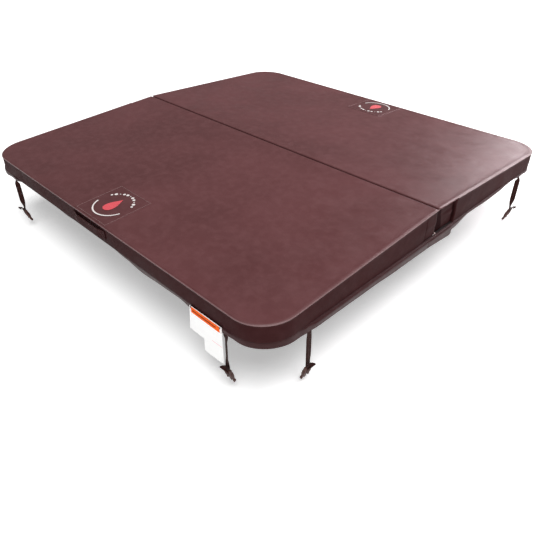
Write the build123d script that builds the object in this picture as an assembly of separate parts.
from build123d import *
import os

os.makedirs("parts", exist_ok=True)

# Folding spa cover, millimetres. X runs along the fold, the front half lies at -Y and +Z is up.
# The origin is in the seat plane, the underside that rests on the spa's lip, under the middle of the fold.

# plan and foam
COVER_LENGTH = 2134.0       # along the fold, 84 in
COVER_DEPTH = 2134.0        # across both halves, 84 in
CORNER_RADIUS = 152.0       # 6 in
FOAM_EDGE = 76.2            # foam thickness at the outer edge, 3 in
FOAM_FOLD = 127.0           # foam thickness at the fold, 5 in
FOLD_GAP = 12.0             # between the two fold faces

# sheets
VINYL = 1.5                 # every vinyl skin, with its backing
WRAP = 0.5                  # vapour wrap around the foam
CHANNEL_WALL = 0.9          # steel channel that caps the foam at the fold
CHANNEL_FLANGE = 38.0

# end gussets: each half's side is tucked in where it meets the fold
GUSSET_LENGTH = 160.0       # from the fold line
GUSSET_RECESS = 12.0
PLEAT_RADIUS = 5.0
PLEAT_END = 12.0            # bare wall left at each end of the pleat

# rim welt
WELT_PROUD = 3.0
WELT_HEIGHT = 6.0

# skirt
SKIRT_DROP = 45.0           # along the sides, below the seat plane
SKIRT_END_DROP = 32.0       # along the outer edge and round its corners
SKIRT_STANDOFF = 3.0        # room for the strap anchors behind it
SKIRT_LEDGE_LOW = 0.5       # the ledge sewn to the foot of the side band
SKIRT_GAP = 3.0             # from the fold line to the skirt's end
TAB_REACH = 125.0           # overlap tab, past the fold
TAB_SEWN = 60.0             # overlap tab, sewn length on the front skirt
TAB_CLEAR = 0.5             # between the overlap tab and the rear skirt
TAB_PROUD = 2.0
TAB_TOP = -6.0
TAB_LOW = -57.0             # the tab hangs past the skirt's hem

# zip along the foot of each fold face
ZIP_LOW = 10.0
ZIP_HEIGHT = 30.0
ZIP_TAPE = 1.5
ZIP_COIL = 1.0              # how far the coil stands off the tape
ZIP_COIL_HEIGHT = 4.0
ZIP_END = 20.0              # tape stops this far from the gusset
SLIDER_CLEAR = 0.2
SLIDER_LENGTH = 16.0
SLIDER_HEIGHT = 12.0
SLIDER_THICKNESS = 2.2
PULL_LENGTH = 46.0
PULL_HEIGHT = 6.0
PULL_THICKNESS = 1.2

# hinge
WEB_THICKNESS = 2.5
WEB_SINK = 1.5              # top of the web below the ridge
WEB_FREE_EDGE = 4.0         # how far the web passes the fold line
SEAL_FREE_FACE = 3.5        # how far the seal passes the fold line
SEAL_LOW = 48.0
SEAL_BELOW_RIDGE = 14.0
SEAL_END = 60.0

# drain grommets in the underside liner
GROMMET_OUTER = 8.0
GROMMET_INNER = 4.0
GROMMET_X = 700.0
GROMMET_INSETS = (90.0, 900.0)   # from the outer edge

# patch and handle near the middle of each outer edge
EDGE_CENTRE = -45.0         # both are sewn a little to the left of the middle
PATCH_SIZE = 250.0
PATCH_INSET = 7.0
PATCH_THICKNESS = 1.0
HANDLE_LENGTH = 270.0
HANDLE_SEWN = 40.0          # flat sewn stretch at each end
HANDLE_RAMP = 30.0
HANDLE_PROUD = 20.0
HANDLE_THICKNESS = 3.0
HANDLE_LOW = 20.0
HANDLE_HEIGHT = 44.0

# straps and clips; u is the distance outward from the cover's side
STRAP_WIDTH = 25.0
STRAP_THICKNESS = 1.5
STRAP_PIVOT_BELOW_HEM = 4.0
STRAP_RUN = 160.0           # from the pivot to the clip's bar
ANCHOR_BELOW_HEM = 2.0
LOOP_INNER = 2.6
BAR_RADIUS = 2.0
TAIL_RISE = 16.0
TAIL_REACH = 22.0
TAIL_LIFT = 7.0
TAIL_STOP = 9.0             # the tail's end is folded over twice
CLIP_TILT = 16.0            # clip leans inward from hanging straight down
CLIP_WIDTH = 38.0
CLIP_THICKNESS = 11.0
CHEEK_INNER = 13.5
CHEEK_TOP = 4.0
CLIP_SHOULDER = 16.0        # bar to the top of the cross body
CLIP_BODY = 24.0
PRONG_LENGTH = 32.0
PRONG_WIDTH = 9.0
PRONG_THICKNESS = 6.0
ARM_WIDTH = 5.0
ARM_LENGTH = 30.0
BARB = 2.0
BARB_HEIGHT = 7.0

# each strap: the side it hangs on, as the outward direction in degrees, and its place along that side
STRAPS = {
    "front_left": (-90, -825.0),
    "front_right": (-90, 875.0),
    "right_front": (0, -838.0),
    "right_rear": (0, 838.0),
    "rear_right": (90, 825.0),
    "rear_left": (90, -875.0),
    "left_rear": (180, 838.0),
    "left_front": (180, -838.0),
}

# label tag in front of the front skirt
TAG_X = 767.0
TAG_WIDTH = 184.0
TAG_HEIGHT = 182.0
TAG_THICKNESS = 1.0
TAG_CLEAR = 0.2
TAG_TOP_Z = 0.0
TIE_INSET = 8.0
TIE_WIDTH = 3.0
TIE_HEIGHT = 10.0
TIE_THICKNESS = 1.0

# worked out from the above
HALF_LENGTH = COVER_LENGTH / 2
HALF_DEPTH = COVER_DEPTH / 2
LAYERS = VINYL + WRAP
RIM_TOP = FOAM_EDGE + 2 * LAYERS
RIDGE_TOP = FOAM_FOLD + 2 * LAYERS
SLOPE = (RIDGE_TOP - RIM_TOP) / HALF_DEPTH
FOLD_FACE = -FOLD_GAP / 2
SKIRT_OUTER = SKIRT_STANDOFF + VINYL
STRAP_U = SKIRT_STANDOFF - STRAP_THICKNESS / 2
MARGIN = 50.0               # how far cutting shapes pass the cover
HALF_TURN = Rot(0, 0, 180)


def block(x0, x1, y0, y1, z0, z1):
    """A box from its limits."""
    return Pos((x0 + x1) / 2, (y0 + y1) / 2, (z0 + z1) / 2) * Box(x1 - x0, y1 - y0, z1 - z0)


def both_ends(solid):
    """A solid and its mirror image at the other end of the fold."""
    return [solid, mirror(solid, Plane.YZ)]


def half_plan(inset, fold_y, notched=True):
    """Plan of the front half, drawn in by inset, with its two round corners and its gusset notches."""
    x = HALF_LENGTH - inset
    y = HALF_DEPTH - inset
    plan = Pos(0, (fold_y - y) / 2) * Rectangle(2 * x, fold_y + y)
    plan = fillet(plan.vertices().sort_by(Axis.Y)[:2], CORNER_RADIUS - inset)
    if notched:
        depth = MARGIN + GUSSET_RECESS
        length = GUSSET_LENGTH + inset
        notch = Pos(x - GUSSET_RECESS + depth / 2, -length / 2) * Rectangle(depth, length)
        plan -= [notch, mirror(notch, Plane.YZ)]
    return plan


def under_roof(drop, floor):
    """Everything from floor up to the front half's sloping top, lowered by drop."""
    reach = HALF_DEPTH + MARGIN
    ridge = RIDGE_TOP - drop
    points = [(-reach, floor), (0, floor), (0, ridge), (-reach, ridge - SLOPE * reach)]
    return extrude(Plane.YZ * Polygon(*points, align=None), amount=HALF_LENGTH + MARGIN, both=True)


def rise(plan, floor, top):
    """A plan extruded between two heights."""
    return Pos(0, 0, floor) * extrude(plan, amount=top - floor)


def tapered(plan, floor, drop):
    """A plan extruded from floor to the sloping top, lowered by drop."""
    return rise(plan, floor, RIDGE_TOP) & under_roof(drop, floor)


def foam_block():
    """The foam with its steel channel, before they are separated."""
    return tapered(half_plan(LAYERS, FOLD_FACE - LAYERS), LAYERS, LAYERS)


def hinge_channel():
    """C-shaped steel channel let into the foam's fold edge."""
    wall = LAYERS + CHANNEL_WALL
    inner = tapered(half_plan(LAYERS, FOLD_FACE - wall), wall, wall)
    reach = HALF_LENGTH + MARGIN
    edge = block(-reach, reach, FOLD_FACE - LAYERS - CHANNEL_FLANGE, 0, 0, RIDGE_TOP)
    return (foam_block() - inner) & edge


def vapour_wrap():
    """Heat-sealed film around the foam and its channel."""
    return tapered(half_plan(VINYL, FOLD_FACE - VINYL), VINYL, VINYL) - foam_block()


def top_panel():
    """Top vinyl, which overhangs the tucked-in gussets."""
    plan = half_plan(0, FOLD_FACE, notched=False)
    return tapered(plan, 0, 0) - tapered(plan, 0, VINYL)


def side_wall():
    """The wall all round one half, before it is cut into band, gussets and fold face."""
    outer = half_plan(0, FOLD_FACE)
    inner = half_plan(VINYL, FOLD_FACE - VINYL)
    return tapered(outer - inner, VINYL, VINYL)


def side_band():
    """Vinyl band round the three outer sides, with its two short returns into the gussets."""
    reach = HALF_LENGTH + MARGIN
    outer_part = block(-reach, reach, -HALF_DEPTH - MARGIN, -GUSSET_LENGTH, 0, RIDGE_TOP)
    return side_wall() & outer_part


def end_gusset():
    """Tucked-in panel at the right of the fold, with one soft pleat along it."""
    inner_x = HALF_LENGTH - GUSSET_RECESS - VINYL
    panel = side_wall() & block(inner_x, HALF_LENGTH, -GUSSET_LENGTH, 0, 0, RIDGE_TOP)
    length = GUSSET_LENGTH + FOLD_FACE - 2 * PLEAT_END
    middle = Pos(inner_x + VINYL, (FOLD_FACE - GUSSET_LENGTH) / 2, RIDGE_TOP / 2)
    pleat = middle * Rot(90, 0, 0) * Cylinder(PLEAT_RADIUS, length)
    outside = block(inner_x + VINYL / 2, HALF_LENGTH, -GUSSET_LENGTH, 0, 0, RIDGE_TOP)
    return panel + (pleat & outside)


def fold_face():
    """Vinyl that closes a half at the fold."""
    reach = HALF_LENGTH - GUSSET_RECESS - VINYL
    return side_wall() & block(-reach, reach, FOLD_FACE - VINYL, 0, 0, RIDGE_TOP)


def grommet_places():
    """Centres of the drain grommets."""
    return [(x, inset - HALF_DEPTH) for x in (-GROMMET_X, GROMMET_X) for inset in GROMMET_INSETS]


def bottom_liner():
    """Underside liner, with a hole for each grommet."""
    liner = rise(half_plan(0, FOLD_FACE, notched=False), 0, VINYL)
    for x, y in grommet_places():
        liner -= Pos(x, y, VINYL / 2) * Cylinder(GROMMET_OUTER, VINYL)
    return liner


def drain_grommets():
    """Brass eyelets, flush with the liner."""
    ring = Cylinder(GROMMET_OUTER, VINYL) - Cylinder(GROMMET_INNER, VINYL)
    return [Pos(x, y, VINYL / 2) * ring for x, y in grommet_places()]


def rim_welt():
    """Raised seam along the rim, from gusset to gusset."""
    ring = half_plan(-WELT_PROUD, FOLD_FACE, notched=False) - half_plan(0, 0, notched=False)
    reach = HALF_LENGTH + MARGIN
    outer_part = block(-reach, reach, -HALF_DEPTH - MARGIN, -GUSSET_LENGTH, 0, RIDGE_TOP)
    return (tapered(ring, 0, 0) - under_roof(WELT_HEIGHT, 0)) & outer_part


def skirt():
    """The whole skirt of one half: a ledge at the foot of the band and a wall that hangs from it."""
    end_y = -SKIRT_GAP
    outer = half_plan(-SKIRT_OUTER, end_y, notched=False)
    wall = rise(outer - half_plan(-SKIRT_STANDOFF, 0, notched=False), -SKIRT_DROP, SKIRT_LEDGE_LOW)
    ledge_plan = outer - half_plan(0, 0, notched=False)
    return wall + rise(ledge_plan, SKIRT_LEDGE_LOW, SKIRT_LEDGE_LOW + VINYL)


def skirt_pieces():
    """The skirt as it is sewn: shallow along the outer edge and round each corner, deeper at the sides."""
    whole = skirt()
    far_x = HALF_LENGTH + MARGIN
    far_y = -HALF_DEPTH - MARGIN
    seam_x = HALF_LENGTH - CORNER_RADIUS
    seam_y = CORNER_RADIUS - HALF_DEPTH
    end = whole & block(-seam_x, seam_x, far_y, seam_y, -SKIRT_END_DROP, RIDGE_TOP)
    right = whole & block(seam_x, far_x, seam_y, 0, -SKIRT_DROP, RIDGE_TOP)
    corner = whole & block(seam_x, far_x, far_y, seam_y, -SKIRT_END_DROP, RIDGE_TOP)
    return end, right, corner


def overlap_tab():
    """Tab on the right of the front skirt that laps the rear skirt at the fold."""
    x = HALF_LENGTH + SKIRT_OUTER
    sewn = block(x, x + TAB_PROUD, -TAB_SEWN, -SKIRT_GAP, TAB_LOW, TAB_TOP)
    free = block(x + TAB_CLEAR, x + TAB_PROUD, -SKIRT_GAP, TAB_REACH, TAB_LOW, TAB_TOP)
    return sewn + free


def zip_tape():
    """Zip tape low on the fold face, with its coil."""
    reach = HALF_LENGTH - GUSSET_RECESS - ZIP_END
    middle = ZIP_LOW + ZIP_HEIGHT / 2
    tape = block(-reach, reach, FOLD_FACE, FOLD_FACE + ZIP_TAPE, ZIP_LOW, ZIP_LOW + ZIP_HEIGHT)
    low = middle - ZIP_COIL_HEIGHT / 2
    coil_y = FOLD_FACE + ZIP_TAPE
    return tape + block(-reach, reach, coil_y, coil_y + ZIP_COIL, low, low + ZIP_COIL_HEIGHT)


def zip_slider():
    """Slider at the right end of the zip, with its pull lying towards the side of the cover."""
    middle = ZIP_LOW + ZIP_HEIGHT / 2
    y0 = FOLD_FACE + ZIP_TAPE + ZIP_COIL + SLIDER_CLEAR
    x1 = HALF_LENGTH - GUSSET_RECESS - ZIP_END
    body = block(x1 - SLIDER_LENGTH, x1, y0, y0 + SLIDER_THICKNESS,
                 middle - SLIDER_HEIGHT / 2, middle + SLIDER_HEIGHT / 2)
    pull_plan = Pos(x1 - SLIDER_LENGTH / 2 + PULL_LENGTH / 2, middle) * SlotOverall(PULL_LENGTH, PULL_HEIGHT)
    pull = Pos(0, y0 + SLIDER_THICKNESS - PULL_THICKNESS, 0) * extrude(
        Plane.XZ * pull_plan, amount=-PULL_THICKNESS)
    return body + pull


def hinge_web():
    """Vinyl web under the groove of the fold, carried by the rear half."""
    top = RIDGE_TOP - WEB_SINK
    return block(-HALF_LENGTH, HALF_LENGTH, -WEB_FREE_EDGE, -FOLD_FACE, top - WEB_THICKNESS, top)


def hinge_seal():
    """Padded seal that fills the gap under the hinge, sewn to the rear fold face."""
    reach = HALF_LENGTH - SEAL_END
    top = RIDGE_TOP - SEAL_BELOW_RIDGE
    return block(-reach, reach, -SEAL_FREE_FACE, -FOLD_FACE, SEAL_LOW, top)


def patch():
    """Square patch sewn to the top beside the middle of the outer edge."""
    low_y = PATCH_INSET - HALF_DEPTH
    left = EDGE_CENTRE - PATCH_SIZE / 2
    column = block(left, left + PATCH_SIZE, low_y, low_y + PATCH_SIZE, 0, RIDGE_TOP)
    return (column & under_roof(-PATCH_THICKNESS, 0)) - under_roof(0, 0)


def handle():
    """Strip sewn to the band at both ends, standing off it for the fingers between them."""
    end = HANDLE_LENGTH / 2
    flat = end - HANDLE_SEWN
    crown = flat - HANDLE_RAMP
    inner = HANDLE_PROUD - HANDLE_THICKNESS
    right = [(end, 0), (end, HANDLE_THICKNESS), (flat, HANDLE_THICKNESS), (crown, HANDLE_PROUD)]
    right_inner = [(crown - HANDLE_THICKNESS / 2, inner), (flat - HANDLE_THICKNESS / 2, 0)]
    outer_line = [(-x, v) for x, v in right] + [(x, v) for x, v in reversed(right)]
    inner_line = [(x, v) for x, v in reversed(right_inner)] + [(-x, v) for x, v in right_inner]
    points = [(EDGE_CENTRE + x, -HALF_DEPTH - v) for x, v in outer_line + inner_line]
    return rise(make_face(Polyline(*points, close=True)), HANDLE_LOW, HANDLE_LOW + HANDLE_HEIGHT)


def strap_profile():
    """Side view of a strap, (u, z) from its pivot: a run, a loop round the clip's bar and a folded tail."""
    outer = LOOP_INNER + STRAP_THICKNESS
    inner_face = STRAP_U - STRAP_THICKNESS / 2
    centre_u = inner_face + outer
    run = Polygon((inner_face, 0), (inner_face, -STRAP_RUN), (inner_face + STRAP_THICKNESS, -STRAP_RUN),
                  (inner_face + STRAP_THICKNESS, 0), align=None)
    loop = Pos(centre_u, -STRAP_RUN) * (Circle(outer) - Circle(LOOP_INNER))
    tail_u = centre_u + LOOP_INNER
    bend_z = TAIL_RISE - STRAP_RUN
    tail = Polygon((tail_u, -STRAP_RUN), (tail_u + STRAP_THICKNESS, -STRAP_RUN),
                   (tail_u + STRAP_THICKNESS, bend_z - STRAP_THICKNESS),
                   (tail_u + TAIL_REACH, bend_z + TAIL_LIFT - STRAP_THICKNESS),
                   (tail_u + TAIL_REACH, bend_z + TAIL_LIFT), (tail_u, bend_z), align=None)
    end_u, end_z = tail_u + TAIL_REACH, bend_z + TAIL_LIFT
    stop_z = end_z - TAIL_STOP * TAIL_LIFT / TAIL_REACH
    plies = 3 * STRAP_THICKNESS
    stop = Polygon((end_u - TAIL_STOP, stop_z - plies), (end_u, end_z - plies), (end_u, end_z),
                   (end_u - TAIL_STOP, stop_z), align=None)
    return run + loop + tail + stop


def bar_centre():
    """(u, z) from a strap's pivot to the bar that its loop turns on."""
    return STRAP_U + STRAP_THICKNESS / 2 + LOOP_INNER, -STRAP_RUN


def hem(direction):
    """Height of the skirt's hem on a side."""
    return -SKIRT_DROP if direction in (0, 180) else -SKIRT_END_DROP


def strap():
    """One webbing strap, hanging, with u along X."""
    return extrude(Plane.XZ * strap_profile(), amount=STRAP_WIDTH / 2, both=True)


def clip():
    """Male half of a side-release buckle, hanging from its bar and leaning inward."""
    half = CLIP_WIDTH / 2
    depth = CLIP_THICKNESS / 2
    foot = -CLIP_SHOULDER - CLIP_BODY
    body = block(-depth, depth, -half, half, foot, -CLIP_SHOULDER)
    prong = block(-PRONG_THICKNESS / 2, PRONG_THICKNESS / 2, -PRONG_WIDTH / 2, PRONG_WIDTH / 2,
                  foot - PRONG_LENGTH, foot)
    whole = body + prong + Rot(90, 0, 0) * Cylinder(BAR_RADIUS, CLIP_WIDTH)
    for side in (-1, 1):
        cheek_y = sorted((side * CHEEK_INNER, side * half))
        arm_y = sorted((side * (half - ARM_WIDTH), side * half))
        barb_y = sorted((side * half, side * (half + BARB)))
        whole += block(-depth, depth, *cheek_y, -CLIP_SHOULDER, CHEEK_TOP)
        whole += block(-PRONG_THICKNESS / 2, PRONG_THICKNESS / 2, *arm_y, foot - ARM_LENGTH, foot)
        whole += block(-PRONG_THICKNESS / 2, PRONG_THICKNESS / 2, *barb_y,
                       foot - ARM_LENGTH, foot - ARM_LENGTH + BARB_HEIGHT)
    u, z = bar_centre()
    return Pos(u, 0, z) * Rot(0, CLIP_TILT, 0) * whole


def strap_anchor(low):
    """Sewn root of a strap behind the skirt, with u along X."""
    u0 = STRAP_U - STRAP_THICKNESS / 2
    return block(u0, u0 + STRAP_THICKNESS, -STRAP_WIDTH / 2, STRAP_WIDTH / 2, low, SKIRT_LEDGE_LOW)


def on_side(solid, direction, along, height=0.0):
    """Move a solid drawn with u along X to a side of the cover."""
    half = HALF_LENGTH
    if direction in (0, 180):
        place = Pos(half if direction == 0 else -half, along, height)
    else:
        place = Pos(along, half if direction == 90 else -half, height)
    return place * Rot(0, 0, direction) * solid


def label_tag():
    """Blank tag that hangs in front of the front skirt."""
    back = -HALF_DEPTH - SKIRT_OUTER - TIE_THICKNESS - TAG_CLEAR
    return block(TAG_X - TAG_WIDTH / 2, TAG_X + TAG_WIDTH / 2, back - TAG_THICKNESS, back,
                 TAG_TOP_Z - TAG_HEIGHT, TAG_TOP_Z)


def tag_ties():
    """Two plastic ties sewn on the skirt behind the tag's top corners."""
    outer = -HALF_DEPTH - SKIRT_OUTER
    ties = []
    for side in (-1, 1):
        x = TAG_X + side * (TAG_WIDTH / 2 - TIE_INSET)
        ties.append(block(x - TIE_WIDTH / 2, x + TIE_WIDTH / 2, outer - TIE_THICKNESS, outer,
                          TAG_TOP_Z - TIE_HEIGHT, TAG_TOP_Z))
    return ties


def half_nodes():
    """Every node of the front half, by the last part of its name."""
    channel = hinge_channel()
    skirt_end, skirt_right, skirt_corner = skirt_pieces()
    return {
        "foam_core": foam_block() - channel,
        "hinge_channel": channel,
        "vapour_wrap": vapour_wrap(),
        "top_panel": top_panel(),
        "side_band": side_band(),
        "bottom_liner": bottom_liner(),
        "fold_face": fold_face(),
        "rim_welt": rim_welt(),
        "skirt_end": skirt_end,
        "skirt_left": mirror(skirt_right, Plane.YZ),
        "skirt_right": skirt_right,
        "skirt_corners": both_ends(skirt_corner),
        "end_gussets": both_ends(end_gusset()),
        "zip_tape": zip_tape(),
        "zip_slider": zip_slider(),
        "drain_grommets": drain_grommets(),
        "patch": patch(),
        "handle": handle(),
    }


def write(name, shape):
    """Write one node, which may be a group of separate solids."""
    solids = shape if isinstance(shape, list) else [shape]
    export_step(Compound(children=[s.solid() for s in solids]), f"parts/{name}.step")


def turned(shape):
    """The same piece on the rear half, which is the front half turned about Z."""
    return [HALF_TURN * s for s in shape] if isinstance(shape, list) else HALF_TURN * shape


OTHER_SIDE = {"left": "right", "right": "left"}

for part, shape in half_nodes().items():
    write(f"front_{part}", shape)
    stem, _, side = part.rpartition("_")
    rear_part = f"{stem}_{OTHER_SIDE[side]}" if side in OTHER_SIDE else part
    write(f"rear_{rear_part}", turned(shape))

write("overlap_tabs", both_ends(overlap_tab()))
write("hinge_web", hinge_web())
write("hinge_seal", hinge_seal())
write("label_tag", label_tag())
write("tag_ties", tag_ties())

anchors = {"front": [], "rear": []}
for strap_name, (direction, along) in STRAPS.items():
    pivot_z = hem(direction) - STRAP_PIVOT_BELOW_HEM
    write(f"strap_{strap_name}", on_side(strap(), direction, along, pivot_z))
    write(f"clip_{strap_name}", on_side(clip(), direction, along, pivot_z))
    at_front = direction == -90 or (direction in (0, 180) and along < 0)
    anchor = strap_anchor(hem(direction) - ANCHOR_BELOW_HEM)
    anchors["front" if at_front else "rear"].append(on_side(anchor, direction, along))
write("front_strap_anchors", anchors["front"])
write("rear_strap_anchors", anchors["rear"])
